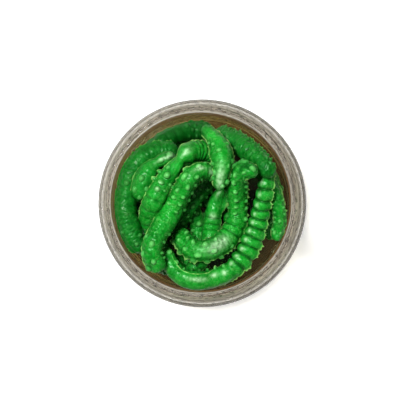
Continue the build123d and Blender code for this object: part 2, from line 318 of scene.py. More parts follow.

# What the mould put on each worm, with its painted highlights and painted shade, by its number. Distances run
# along the worm from the first tip of its route. Angles are in degrees round it from its highest line,
# positive to the right of its direction.
#   girth:   (distance, share of the usual radius), between which the radius changes evenly
#   roll:    (distance, angle) how far the mould's halves lie turned about the worm's length
#   ribs:    (from, to, pitch, depth) of each run of ribs
#   nubs:    (from, to, spacing, angles of the rows, radius, height) of each run of nubs
#   spots:   (distance, angle, radius, height) of single nubs
#   flats:   (distance, angle, half length, depth) of places that are pressed flat
#   flash:   (height on the right side, height on the left side) of the thin edge where the mould halves met
#   teeth:   the same for the torn points on that edge
#   leaf:    (from, to, side, width) of a wide thin flap on that edge, on side 1 for right or -1 for left
#   rib_highlights: (from, to, pitch, angle) of a painted highlight, a light spot on each rib
#   highlight_patch: (distance, angle, half length, half width in degrees) of whitish painted highlights
#   streaks: (from, to) of slanting fine wrinkles
#   sunk_shade: (from, to, how much) of lengths that lie deeper in the oil than the rest and get more painted
#       shade
#   rough:   how many times as rough as usual the skin is
LOOKS = {
    9: dict(roll=[(0, 20)], ribs=[(14, 28, 2.6, 0.3)], nubs=[(1, 14, 3.6, (-90, -30, 35, 95), 0.62, 0.5)]),
    10: dict(roll=[(0, 25)], ribs=[(12, 24, 2.3, 0.25)],
             nubs=[(1, 26, 3.0, (-120, -60, -10, 40, 90), 0.55, 0.5)], flash=(0.3, 0.2)),
    11: dict(girth=[(0, 1), (24, 1.08), (32, 1)], roll=[(0, 30)],
             nubs=[(1, 31, 3.6, (-85, -20, 40, 100), 0.66, 0.55)]),
    12: dict(girth=[(0, 0.7), (6, 1.0), (12, 1.15), (24, 1)], roll=[(0, 18)],
             ribs=[(7.6, 17, 2.3, 0.34), (17, 30, 2.6, 0.3)], spots=[(13, 98, 0.5, 0.4)], flash=(0.15, 0.3),
             leaf=[(0.3, 8.5, -1, 1.7)], highlight_patch=[(2.6, 10, 1.6, 14), (9.4, 0, 0.8, 20)],
             sunk_shade=[(19, 34, 0.5)]),
    13: dict(girth=[(0, 0.9), (20, 1.1), (34, 1.1), (43, 0.9)], roll=[(0, -14)], ribs=[(19, 38, 3.0, 0.22)],
             nubs=[(26, 43, 3.8, (-96, 86), 0.52, 0.45)],
             spots=[(39, -49, 0.66, 0.45), (41, 1, 0.6, 0.4), (21, 6, 0.7, 0.3), (14, -74, 0.6, 0.4),
                    (31, -4, 0.5, 0.3), (36, 46, 0.5, 0.35)], flash=(0.4, 0.3), teeth=(0.7, 0.3),
             streaks=[(0.5, 13)], rough=1.8),
    14: dict(girth=[(0, 0.85), (3.4, 0.84), (5.8, 0.66), (9, 1.1), (12, 1.25), (18, 1.15)], roll=[(0, -12)],
             spots=[(1.8, 30, 0.8, 0.5), (4.6, 5, 0.7, 0.4), (12.5, 15, 0.7, 0.5), (14.8, -30, 0.6, 0.4),
                    (15.6, 40, 0.6, 0.45), (17.4, 5, 0.6, 0.4)], flash=(0.4, 0.2),
             highlight_patch=[(3.2, 10, 2.2, 14)]),
    15: dict(girth=[(0, 0.9), (12, 0.95), (18, 0.85), (28, 0.9)], roll=[(0, 8)], ribs=[(4, 14, 2.4, 0.3)],
             nubs=[(14, 26, 2.4, (-60, 60), 0.45, 0.4)],
             spots=[(22, 5, 0.5, 0.3), (26.4, 30, 0.5, 0.4), (26.6, -40, 0.5, 0.4)], flash=(0.3, 0.35),
             teeth=(0.3, 0.5)),
    16: dict(roll=[(0, 15)], nubs=[(1, 47, 3.2, (-95, -35, 25, 85), 0.55, 0.5)], flash=(0.2, 0.2)),
    17: dict(girth=[(0, 0.9), (12, 1.0), (19, 1.12), (22.8, 1.05), (25.3, 0.5), (27, 0.72), (30, 0.92),
                    (34, 1.02), (42, 1.06), (54, 1)], roll=[(0, -16)],
             ribs=[(9.4, 20.4, 1.55, 0.42), (37.5, 51, 2.8, 0.36)],
             spots=[(30.7, 8, 0.8, 0.7), (34, 14, 0.8, 0.7), (37.3, 12, 0.7, 0.45), (31.9, 76, 0.62, 0.75),
                    (34.9, 78, 0.62, 0.75), (29, 42, 0.45, 0.3), (33, -42, 0.5, 0.3),
                    (36.4, -30, 0.45, 0.3)], flash=(0.3, 0.1), teeth=(0.15, 0.1),
             highlight_patch=[(23.6, 8, 1.3, 16), (34, 14, 0.5, 8), (37.3, 12, 0.6, 12)], streaks=[(26.2, 31.5)],
             sunk_shade=[(-3, 8, 0.8)]),
    18: dict(girth=[(0, 0.72), (7, 0.95), (20, 1.12), (31, 1.2), (34.5, 0.98), (38, 1.06), (46, 1.12),
                    (56, 1.0), (62, 0.8)], roll=[(0, 26), (33, 26), (43, -44), (62, -58)],
             ribs=[(2.6, 35.2, 3.26, 0.85)],
             spots=[(36.4, 56, 0.62, 0.5), (39.6, 76, 0.62, 0.55), (42.6, 88, 0.6, 0.6),
                    (46.0, 92, 0.6, 0.6), (49.2, 88, 0.6, 0.6), (52.4, 60, 0.55, 0.4), (56.4, 46, 0.7, 0.5),
                    (60, 20, 0.7, 0.5), (60.2, -34, 0.6, 0.5)], flash=(0.22, 0.35), teeth=(0.15, 0.75),
             rib_highlights=[(2.6, 35.2, 3.26, 34)], highlight_patch=[(37.4, 10, 0.9, 16), (41, 20, 1.3, 13), (47, 8, 2.4, 12)],
             sunk_shade=[(34, 66, 0.12)]),
    19: dict(girth=[(0, 1), (16, 1.1), (23, 0.95), (28, 0.8)], roll=[(0, 14)], ribs=[(14, 26, 2.6, 0.22)],
             nubs=[(2, 26, 1.6, (-98, -72, -50), 0.36, 0.35)],
             spots=[(7, 4, 0.6, 0.35), (12, 34, 0.5, 0.3), (19, -16, 0.5, 0.3)], flash=(0.2, 0.35),
             teeth=(0.1, 0.3), rough=2.4),
    20: dict(girth=[(0, 0.8), (8, 0.92), (18, 1.04), (29, 1.2), (35, 1.1), (46, 0.95)], roll=[(0, -12)],
             ribs=[(0.5, 8, 1.7, 0.2)],
             nubs=[(9, 24.5, 3.3, (-84, -30, 28, 80), 0.6, 0.55), (36, 45, 3.8, (-70, 0, 66), 0.62, 0.55)],
             spots=[(29, 84, 0.55, 0.5), (32, -72, 0.5, 0.45), (2.6, -60, 0.5, 0.4), (6, 62, 0.5, 0.4)],
             flash=(0.25, 0.1), teeth=(0.2, 0.1), highlight_patch=[(4.4, 0, 1.5, 22), (8.6, 12, 1.6, 14)],
             streaks=[(2, 11)], rough=1.7),
    21: dict(girth=[(0, 0.8), (3, 0.94), (6, 1.0), (20, 0.95), (30, 1.12), (38, 1.12), (52, 0.9)],
             roll=[(0, 8)], ribs=[(22.5, 31.6, 2.9, 0.5)],
             nubs=[(4, 24, 3.1, (-64, 12, 86, 160), 0.6, 0.62),
                   (35.5, 50, 3.3, (-84, -22, 38, 92), 0.62, 0.6)],
             spots=[(31.5, -60, 0.6, 0.4), (1.4, 24, 0.6, 0.5), (3.4, 76, 0.55, 0.65), (5.6, 84, 0.6, 0.8),
                    (7.3, 52, 0.5, 0.5), (2.8, -24, 0.5, 0.35)],
             flats=[(35.5, -2, 3.4, 0.25), (3.2, 30, 1.2, 0.35)], flash=(0.25, 0.45), teeth=(0.3, 0.8),
             highlight_patch=[(35.2, 4, 3.6, 30)], rough=1.7),
    22: dict(girth=[(0, 0.62), (4, 0.66), (9.5, 0.96), (13, 1.04), (16.5, 0.84), (20, 0.68), (22.5, 0.6),
                    (25, 0.45)], roll=[(0, -8)],
             spots=[(12.2, 8, 0.62, 0.5), (15.8, 78, 0.6, 0.5), (8.4, 30, 0.55, 0.3), (18.4, 62, 0.62, 0.5),
                    (20.2, 84, 0.62, 0.55), (9.6, -64, 0.5, 0.4), (14.8, -80, 0.6, 0.5),
                    (20.6, -72, 0.7, 0.7), (21.8, -30, 0.6, 0.4), (6.8, 62, 0.5, 0.4),
                    (16.6, -48, 0.45, 0.3)], flash=(0.35, 0.45), teeth=(0.4, 0.55),
             highlight_patch=[(19.8, 6, 3.0, 28)], sunk_shade=[(-3, 3, 0.75)], rough=1.6),
}
ROWS = (-145, -88, -40, 4, 46, 92, 150)
HIDDEN_LOOK = dict(ribs=[(10, 30, 2.9, 0.3)],
                   nubs=[(2, 9, 3.2, ROWS, 0.6, 0.5), (31, 68, 3.2, ROWS, 0.6, 0.5)],
                   flash=(0.2, 0.2), teeth=(0.2, 0.2))
PLAIN_FLASH = (0.15, 0.15)
PLAIN_TEETH = (0.1, 0.1)


# ---- Worm surfaces: the mould's work -----------------------------------------


def unit(vectors):
    return vectors / np.linalg.norm(vectors, axis=1, keepdims=True)


def smooth_noise(rng, shape, cells, wrap):
    """Even noise of about -1 to 1 that changes over the given number of samples each way."""
    noise = rng.standard_normal(shape)
    for axis, cell in enumerate(cells):
        reach = max(1, int(cell * NOISE_REACH))
        bell = np.exp(-0.5 * (np.arange(-reach, reach + 1) / max(cell / 2, 0.5))**2)
        mode = "wrap" if wrap[axis] else "reflect"
        pads = [(reach, reach) if a == axis else (0, 0) for a in range(noise.ndim)]
        padded = np.pad(noise, pads, mode=mode)
        noise = np.apply_along_axis(np.convolve, axis, padded, bell, mode="valid")
    return noise / noise.std()


def start_skin(number, line, radii):
    """A worm's plain tube before its details: its line, girth and angles, and its empty rise and paint."""
    look = LOOKS.get(number, HIDDEN_LOOK)
    step, columns = FINE if number >= FIRST_VISIBLE else COARSE
    rng = np.random.default_rng(FIRST_SEED + number)

    out = unit(np.gradient(line, axis=0))[[0, -1]]
    line = np.vstack([line[:1] - TIP_OUT * out[:1], line, line[-1:] + TIP_OUT * out[1:]])
    line = soften(resample(line, step), LINE_BLURS)
    runs = np.linalg.norm(np.diff(line, axis=0), axis=1)
    along = np.concatenate([[0], np.cumsum(runs)]) - TIP_OUT
    length = along[-1] - TIP_OUT
    from_tip = np.minimum(along + TIP_OUT, length + TIP_OUT - along)

    share = np.clip(from_tip / TIP_ROUND, 0, 1)
    radius = radii.max() * PLUMP * (1 - (1 - share)**TIP_POWER)**0.5
    radius = radius * np.interp(along, *zip(*look.get("girth", [(0, 1)])))
    radius = radius * (1 + UNEVEN * smooth_noise(rng, along.shape, (UNEVEN_LENGTH / step,), (False,)))

    rolls = look.get("roll", [(0, rng.uniform(-ANY_ROLL, ANY_ROLL))])
    pace = 360 / columns
    angles = -180 + pace * np.arange(columns)
    for seam in SEAMS:
        index = round((seam + 180) / pace)
        angles[index - 1] += SEAM_CROWDING * pace
        angles[index + 1] -= SEAM_CROWDING * pace
    angles = angles[None] + np.interp(along, *zip(*rolls))[:, None]

    empty = np.zeros(angles.shape)
    return SimpleNamespace(look=look, rng=rng, step=step, columns=columns, pace=pace, line=line, along=along,
                           length=length, from_tip=from_tip, radius=radius, angles=angles, rise=empty.copy(),
                           nub_highlight=empty.copy(), seam_highlight=empty.copy(), highlight_patch=empty.copy())


def turn_from(angles, angle):
    """How far round each angle is from a given one, in degrees from -180 to 180."""
    return (angles - angle + 180) % 360 - 180


def fade(skin, start, end, soft=RUN_FADE):
    """A column that is 1 between two distances along a worm and 0 outside them, with soft ends."""
    distance = skin.along[:, None]
    return np.clip((distance - start) / soft, 0, 1) * np.clip((end - distance) / soft, 0, 1)


def surface_noise(skin, cell_along, cell_round):
    """Noise over the whole skin, whose cells are given in samples."""
    return smooth_noise(skin.rng, skin.rise.shape, (cell_along, cell_round), (False, True))


def raise_ribs(skin):
    distance = skin.along[:, None]
    for start, end, pitch, depth in skin.look.get("ribs", ()):
        sway = RIB_SWAY * surface_noise(skin, RIB_SWAY_LENGTH / skin.step, skin.columns / RIB_SWAY_SHARE)
        barrel = np.abs(np.sin(np.pi * ((distance - start) / pitch + sway)))**RIB_POWER
        skin.rise += fade(skin, start, end) * depth * (barrel - RIB_FLUSH)


def raise_lumps(skin):
    skin.rise += LUMPS * surface_noise(skin, LUMP_LENGTH / skin.step, skin.columns / LUMPS_ROUND)


def nub_places(skin):
    """Distance, angle, radius and height of every nub on a worm, single ones and runs."""
    rng = skin.rng
    spots = list(skin.look.get("spots", ()))
    for start, end, spacing, rows, size, height in skin.look.get("nubs", ()):
        for row, angle in enumerate(rows):
            offset = (row % 2) * spacing / 2
            for place in np.arange(start + offset, min(end, skin.length - LAST_NUB), spacing):
                spots.append((
                    place + rng.uniform(-NUB_SHIFT, NUB_SHIFT),
                    angle + rng.uniform(-NUB_TURN, NUB_TURN),
                    size * rng.uniform(*NUB_SIZES),
                    height * rng.uniform(*NUB_HEIGHTS),
                ))
    return spots


def raise_nubs(skin):
    for place, angle, size, height in nub_places(skin):
        size = NUB_SIZE * size
        near = np.abs(skin.along - place) < size * NUB_REACH
        turn = turn_from(skin.angles[near], angle)
        across = np.radians(turn) * np.maximum(skin.radius[near, None], THINNEST)
        far = np.hypot(skin.along[near, None] - place, across) / size
        dome = np.clip(1 - far**2, 0, 1)**NUB_POWER
        moat = MOAT * np.exp(-((far - MOAT_RADIUS) / MOAT_WIDTH)**2)
        skin.rise[near] += NUB_HEIGHT * height * dome - moat
        # A painted highlight on each nub's dome
        skin.nub_highlight[near] = np.maximum(skin.nub_highlight[near], dome)


def press_flats(skin):
    distance = skin.along[:, None]
    for place, angle, reach, depth in skin.look.get("flats", ()):
        turn = turn_from(skin.angles, angle)
        lengthways = np.exp(-((distance - place) / reach)**FLAT_POWER)
        crossways = np.exp(-(turn / FLAT_WIDTH)**2)
        skin.rise -= depth * lengthways * crossways


def paint_highlight_patches(skin):
    """Paint for the whitish highlights: one on each rib of a run of rib highlights, and the single patches.
    """
    distance = skin.along[:, None]
    rib_highlight_spots = [(place, angle, RIB_HIGHLIGHT_LENGTH * pitch, RIB_HIGHLIGHT_WIDTH)
            for start, end, pitch, angle in skin.look.get("rib_highlights", ())
            for place in np.arange(start + pitch / 2, end, pitch)]
    for place, angle, reach, width in rib_highlight_spots + list(skin.look.get("highlight_patch", ())):
        turn = turn_from(skin.angles, angle)
        patch = np.exp(-((distance - place) / reach)**2 - (turn / width)**2)
        skin.highlight_patch = np.maximum(skin.highlight_patch, patch)


def wrinkle(skin):
    distance = skin.along[:, None]
    for start, end in skin.look.get("streaks", ()):
        wave = np.sin(2 * np.pi * (distance - skin.angles / WRINKLE_SLANT) / WRINKLE_PITCH)
        skin.rise += WRINKLE * fade(skin, start, end) * wave


def roughen(skin):
    grain = GRAIN * skin.look.get("rough", 1)
    skin.rise += grain * surface_noise(skin, GRAIN_SIZE / skin.step, GRAIN_SIZE / skin.step)
    skin.rise += STREAKS * surface_noise(skin, STREAK_LENGTH / skin.step, STREAK_WIDTH / skin.step)


def flash_edge(skin, height, teeth):
    """Height of one seam's flash along the worm, with its torn teeth."""
    rng = skin.rng
    wander = smooth_noise(rng, skin.along.shape, (FIN_WANDER_LENGTH / skin.step,), (False,))
    edge = height * (FIN_STEADY + FIN_WANDER * wander)
    for place in np.arange(rng.uniform(*FIRST_TOOTH), skin.length, TOOTH_PITCH):
        if rng.random() < TOOTH_CHANCE:
            width = rng.uniform(*TOOTH_WIDTHS)
            point = np.clip(1 - np.abs(skin.along - place) / width, 0, 1)
            tooth = teeth * rng.uniform(*TOOTH_SHARES) * point
            edge = np.maximum(edge, height * TOOTH_FOOT + tooth)
    return edge


def raise_flash(skin, dry):
    """The thin edge on each seam, and the line painted on it as a highlight, which shows by how dry the worm
    is, that is by how little painted shade it has.
    """
    heights = skin.look.get("flash", PLAIN_FLASH)
    teeth = skin.look.get("teeth", PLAIN_TEETH)
    ends = np.clip(skin.from_tip / FIN_FADE, 0, 1)
    for seam, height, tooth in zip(SEAMS, heights, teeth):
        index = round((seam + 180) / skin.pace)
        edge = flash_edge(skin, height, tooth)
        fin = FIN * np.clip(edge, 0, None) * ends
        bright = ends * dry * np.clip(edge / height, SEAM_HIGHLIGHT_LEAST, 1)
        skin.rise[:, index] += fin
        # A painted highlight along the seam, where light catches and shines through the thin flash
        skin.seam_highlight[:, index] = bright
        for beside in (index - 1, index + 1):
            skin.rise[:, beside] += FIN_BESIDE * fin
            skin.nub_highlight[:, beside] *= NUB_HIGHLIGHT_BESIDE
            skin.seam_highlight[:, beside] = SEAM_HIGHLIGHT_BESIDE * bright


def spread_leaves(skin):
    for start, end, side, width in skin.look.get("leaf", ()):
        index = round((90 * side + 180) / skin.pace)
        opening = np.clip((skin.along - start) / LEAF_START, 0, 1)
        closing = np.clip((end - skin.along) / LEAF_END, 0, 1)
        swell = opening * closing
        skin.rise[:, index] += width * swell
        for offset, part in LEAF_SPREAD:
            skin.rise[:, index + offset] += width * part * swell
            skin.rise[:, index - offset] += width * part * swell


def skin_rays(skin):
    """The direction from the worm's line to each point of its skin."""
    ahead = unit(np.gradient(skin.line, axis=0))
    up = unit(np.array([0, 0, 1.0]) - ahead[:, 2:] * ahead)
    side = np.cross(ahead, up)
    turn = np.radians(skin.angles)[..., None]
    return up[:, None] * np.cos(turn) + side[:, None] * np.sin(turn)


def paint_shade_and_soak(skin, number, upward):
    """How dark each point is painted: painted shade from the worm's own depth, its deeper lengths and its
    flanks, partly standing for oil that has got in.
    """
    shade_and_soak = np.full_like(skin.rise, SHADE_AND_SOAK.get(number, HIDDEN_SHADE_AND_SOAK))
    for start, end, more in skin.look.get("sunk_shade", ()):
        sunk_shade = fade(skin, start - SUNK_SHADE_SPILL, end + SUNK_SHADE_SPILL, SUNK_SHADE_FADE)
        shade_and_soak += np.maximum(0, 1 - shade_and_soak) * more * sunk_shade
    # Painted shade on the flanks, which face away from the light above
    shaded_flank = np.clip((FLANK_SHADE_TOP - upward) / FLANK_SHADE_TOP, 0, 1)
    flank_shade_share = FLANK_SHADE if number in SHADE_AND_SOAK else HIDDEN_FLANK_SHADE
    return shade_and_soak + np.maximum(0, 1 - shade_and_soak) * flank_shade_share * shaded_flank


def worm_surface(number, line, radii):
    """Points and paint of one worm's skin: a tube along its line with all that the mould put on it."""
    skin = start_skin(number, line, radii)
    raise_ribs(skin)
    raise_lumps(skin)
    raise_nubs(skin)
    press_flats(skin)
    paint_highlight_patches(skin)
    wrinkle(skin)
    roughen(skin)
    # The seam's painted highlight fades as the worm's painted shade grows.
    raise_flash(skin, 1 - SEAM_HIGHLIGHT_LOST * SHADE_AND_SOAK.get(number, HIDDEN_SHADE_AND_SOAK))
    spread_leaves(skin)
    rise = skin.rise * np.clip(skin.from_tip / TIP_CALM, TIP_REST, 1)[:, None]

    ray = skin_rays(skin)
    beneath = np.clip(-ray[..., 2] / PRESSED_SLOPE, 0, 1)
    rise = np.minimum(rise, rise * (1 - PRESSED * beneath))
    points = skin.line[:, None] + ray * (skin.radius[:, None] + rise)[..., None]
    # Painted shade in the dents
    dent_shade = np.clip(-rise / DENT_SHADE_DEPTH, 0, 1)
    # Painted shade on deeper worms, their deeper lengths and their flanks, partly standing for oil that has
    # got in
    shade_and_soak = paint_shade_and_soak(skin, number, ray[..., 2])
    return points, {"nub_highlight": skin.nub_highlight, "seam_highlight": skin.seam_highlight, "dent_shade": dent_shade, "shade_and_soak": shade_and_soak,
                    "highlight_patch": skin.highlight_patch}


def tube_mesh(name, points, paints):
    """A closed tube through rings of points, with a fan over each end, and paint values as attributes."""
    rings, columns = points.shape[:2]
    count = rings * columns
    ends = np.array([points[0].mean(axis=0), points[-1].mean(axis=0)])
    ring = np.arange(rings - 1)[:, None] * columns
    here = np.arange(columns)[None]
    there = (here + 1) % columns
    quads = np.stack([ring + here, ring + columns + here, ring + columns + there, ring + there], axis=-1)
    faces = quads.reshape(-1, 4).tolist()
    last = count - columns
    faces += [(int(a), int(b), count) for a, b in zip(here[0], there[0])]
    faces += [(last + int(b), last + int(a), count + 1) for a, b in zip(here[0], there[0])]
    mesh = bpy.data.meshes.new(name)
    mesh.from_pydata((np.vstack([points.reshape(-1, 3), ends]) * MM).tolist(), [], faces)
    for paint, values in paints.items():
        layer = mesh.attributes.new(paint, "FLOAT", "POINT")
        layer.data.foreach_set("value", np.concatenate([values.ravel(), [0, 0]]).astype(np.float32))
    mesh.polygons.foreach_set("use_smooth", [True] * len(mesh.polygons))
    mesh.update()
    return mesh


def add_piece(name, mesh, body, material, node):
    """A piece that rides on a body and stands for a CAD node."""
    piece = bpy.data.objects.new(name, mesh)
    bpy.context.scene.collection.objects.link(piece)
    mesh.materials.append(material)
    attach(piece, body)
    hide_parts(node)


# ---- Oil ---------------------------------------------------------------------

# The oil's level, its gap to the wall, and how high it creeps up the wall and over what length
OIL_SURFACE = 11.0
OIL_FROM_WALL = 0.06
OIL_CREEP = 0.4
OIL_CREEP_LENGTH = 0.6

# Mesh points round the bottom corner, up the wall, over the crept edge and in to the middle, and round it
CORNER_POINTS = 9
WALL_POINTS = 8
EDGE_POINTS = 8
TOP_POINTS = 24
OIL_SIDES = 128

# How far above the corner the wall's points start, how far inward from the wall the edge's points lie and
# the top's points start, and the radius where they stop
WALL_START = 1
EDGE_INWARD = (0.15, 2.4)
TOP_INWARD = 3
TOP_STOP = 0.4


def oil_outline():
    """Radius and height of the oil's skin, from the middle of its underside to the middle of its top."""
    cavity = BODY_RADIUS - WALL
    floor_top = FOOT_HEIGHT + FLOOR
    corner = BASE_ROUND - WALL / 2
    reach = corner - OIL_FROM_WALL
    bend = np.radians(np.linspace(0, 90, CORNER_POINTS))
    outline = [(0, floor_top + OIL_FROM_WALL), (cavity / 2, floor_top + OIL_FROM_WALL)]
    outline += [(cavity - corner + reach * math.sin(a),
                 floor_top + corner - reach * math.cos(a)) for a in bend]
    for level in np.linspace(floor_top + corner + WALL_START, OIL_SURFACE + OIL_CREEP, WALL_POINTS):
        outline.append((cavity - OIL_FROM_WALL, level))
    edge = cavity - OIL_FROM_WALL
    for inward in np.linspace(*EDGE_INWARD, EDGE_POINTS):
        outline.append((edge - inward, OIL_SURFACE + OIL_CREEP * math.exp(-inward / OIL_CREEP_LENGTH)))
    for radius in np.linspace(edge - TOP_INWARD, TOP_STOP, TOP_POINTS):
        outline.append((radius, OIL_SURFACE))
    return np.array(outline)


def lathe_points(outline, sides):
    """Rings of points that turn an outline about the tub's axis, without its first point on the axis."""
    turn = 2 * math.pi * np.arange(sides) / sides
    round_about = np.column_stack([np.cos(turn), np.sin(turn)])
    rings = outline[1:, None, :1] * round_about[None]
    heights = np.broadcast_to(outline[1:, None, 1:], rings.shape[:2] + (1,))
    return np.concatenate([rings, heights], axis=-1)


# ---- Material nodes ----------------------------------------------------------

NOISE_ROUGHNESS = 0.55

# The sockets of a Mix node that are for colours
MIX_INPUTS = (0, 6, 7)
MIX_OUTPUT = 2


def new_material(name):
    material = bpy.data.materials.new(name)
    material.use_nodes = True
    tree = material.node_tree
    tree.nodes.clear()
    output = tree.nodes.new("ShaderNodeOutputMaterial")
    return material, tree, output


def set_or_link(tree, socket, value):
    if isinstance(value, bpy.types.NodeSocket):
        tree.links.new(value, socket)
    else:
        socket.default_value = value


def add(tree, kind, settings=None, **inputs):
    """A node with its settings, and its inputs set to values or linked from sockets."""
    node = tree.nodes.new("ShaderNode" + kind)
    for key, value in (settings or {}).items():
        setattr(node, key, value)
    for key, value in inputs.items():
        set_or_link(tree, node.inputs[key.replace("_", " ")], value)
    return node


def noise(tree, place, scale, detail, distortion=0.0):
    return add(tree, "TexNoise", Vector=place, Scale=scale, Detail=detail, Roughness=NOISE_ROUGHNESS,
               Distortion=distortion).outputs["Fac"]


def spread(tree, value, low, high, to_low=0.0, to_high=1.0):
    """The value, moved from one range to another and kept inside it."""
    return add(tree, "MapRange", Value=value, From_Min=low, From_Max=high, To_Min=to_low,
               To_Max=to_high).outputs["Result"]


def band(tree, distance, start, full, most=1.0):
    """0 up to a start in millimetres, and the most from where the band is full."""
    return spread(tree, distance, start * MM, full * MM, 0.0, most)


def maths(tree, operation, *values):
    node = add(tree, "Math", dict(operation=operation))
    for socket, value in zip(node.inputs, values):
        set_or_link(tree, socket, value)
    return node.outputs[0]


def times(tree, first, second):
    return maths(tree, "MULTIPLY", first, second)


def blend_colours(tree, share, first, second):
    node = add(tree, "Mix", dict(data_type="RGBA"))
    for index, value in zip(MIX_INPUTS, (share, first, second)):
        set_or_link(tree, node.inputs[index], value)
    return node.outputs[MIX_OUTPUT]


def tint(tree, base, mask, most, colour):
    """The base colour with another over it, by the mask times the most that it covers."""
    return blend_colours(tree, times(tree, mask, most), base, colour)


def blend_shaders(tree, share, first, second):
    node = add(tree, "MixShader", Fac=share)
    tree.links.new(first.outputs[0], node.inputs[1])
    tree.links.new(second.outputs[0], node.inputs[2])
    return node


def attribute(tree, name):
    return add(tree, "Attribute", dict(attribute_name=name)).outputs["Fac"]


def distance_from_axis(tree, parts):
    squares = [maths(tree, "POWER", parts[axis], 2.0) for axis in ("X", "Y")]
    return maths(tree, "SQRT", maths(tree, "ADD", *squares))


def levelness(tree):
    """1 where the surface lies flat, and 0 where it stands upright."""
    normal = add(tree, "NewGeometry").outputs["True Normal"]
    return maths(tree, "ABSOLUTE", add(tree, "SeparateXYZ", Vector=normal).outputs["Z"])


# ---- Worm material -----------------------------------------------------------

# Colours are linear red, green, blue and alpha, here and below. A noise is its scale, its detail and any
# distortion. A range is the ends of what comes in, and then of what goes out where that isn't 0 to 1.
BROAD_NOISE = (140.0, 2.0)
BROAD_RANGE = (0.35, 0.65)
DEEP_GREEN = (0.000, 0.190, 0.006, 1)
FULL_GREEN = (0.004, 0.330, 0.016, 1)

MOTTLE_NOISE = (900.0, 4.0)
MOTTLE_RANGE = (0.42, 0.72, 0.0, 0.6)
MOTTLE_GREEN = (0.030, 0.480, 0.050, 1)

# A crease runs where its noise is at its middle value, and fades out within this range of it.
CREASE_NOISE = (460.0, 2.5, 0.6)
CREASE_RANGE = (0.0, 0.022, 1.0, 0.0)

FLECK_NOISE = (1700.0, 2.0)
FLECK_RANGE = (0.60, 0.72)

# Tints: the most that each covers what lies under it, and its colour
CREASE_TINT = (0.32, (0.20, 0.66, 0.14, 1))
FLECK_TINT = (0.32, (0.16, 0.62, 0.14, 1))
# The nubs' tint is a painted highlight on their tops
NUB_HIGHLIGHT_TINT = (0.5, (0.22, 0.76, 0.20, 1))
# Painted shade in the dents
DENT_SHADE_TINT = (0.85, (0.000, 0.070, 0.003, 1))
# Painted shade on deeper worms and their flanks, partly standing for oil that has got in
SHADE_AND_SOAK_TINT = (0.8, (0.000, 0.060, 0.003, 1))

# The painted highlights: the bright line on the seams, and the whitish patches, which the mottle breaks up
# into specks
SEAM_HIGHLIGHT_RANGE = (0.15, 0.9, 0.0, 0.85)
SEAM_HIGHLIGHT_GREEN = (0.42, 0.88, 0.22, 1)
HIGHLIGHT_SPECK_RANGE = (0.35, 0.6, 0.25, 0.92)
# The colour of the painted highlight patches
HIGHLIGHT_PATCH_GREEN = (0.46, 0.78, 0.42, 1)

# How rough the mottle makes the skin, and what a soaked place adds
WORM_ROUGHNESS = (0.3, 0.7, 0.30, 0.48)
SOAKED_ROUGHNESS = 0.12

# Fine relief: the grain's noise, and how much mottle, grain and creases add to the relief
GRAIN_NOISE = (3200.0, 3.0)
MOTTLE_RELIEF = 0.35
GRAIN_RELIEF = 0.65
CREASE_RELIEF = 0.25
WORM_BUMP = dict(Strength=0.75, Distance=0.00014)

WORM_SHINE = dict(
    IOR=1.48,
    Subsurface_Weight=0.12,
    Subsurface_Radius=(0.35, 1.0, 0.35),
    Subsurface_Scale=0.0009,
    Specular_Tint=(0.16, 1.0, 0.26, 1),
    Coat_Weight=0.12,
    Coat_Roughness=0.16,
    Coat_IOR=1.46,
)


def worm_colour(tree, place, mottle, crease, shade_and_soak):
    """Uneven green with lighter creases and flecks, painted highlights on the nubs, the seams and some
    patches, and painted shade in dents, on flanks and on deeper worms.
    """
    broad = noise(tree, place, *BROAD_NOISE)
    flecks = spread(tree, noise(tree, place, *FLECK_NOISE), *FLECK_RANGE)
    edge = spread(tree, attribute(tree, "seam_highlight"), *SEAM_HIGHLIGHT_RANGE)
    highlight_patch = times(tree, attribute(tree, "highlight_patch"), spread(tree, mottle, *HIGHLIGHT_SPECK_RANGE))
    green = blend_colours(tree, spread(tree, broad, *BROAD_RANGE), DEEP_GREEN, FULL_GREEN)
    green = blend_colours(tree, spread(tree, mottle, *MOTTLE_RANGE), green, MOTTLE_GREEN)
    green = tint(tree, green, crease, *CREASE_TINT)
    green = tint(tree, green, flecks, *FLECK_TINT)
    # Painted highlight on the nubs
    green = tint(tree, green, attribute(tree, "nub_highlight"), *NUB_HIGHLIGHT_TINT)
    # Painted shade in the dents
    green = tint(tree, green, attribute(tree, "dent_shade"), *DENT_SHADE_TINT)
    # Painted shade on deeper worms and their flanks
    green = tint(tree, green, shade_and_soak, *SHADE_AND_SOAK_TINT)
    # Painted highlight along the seams
    green = blend_colours(tree, edge, green, SEAM_HIGHLIGHT_GREEN)
    # Painted highlight patches, broken into specks
    return blend_colours(tree, highlight_patch, green, HIGHLIGHT_PATCH_GREEN)


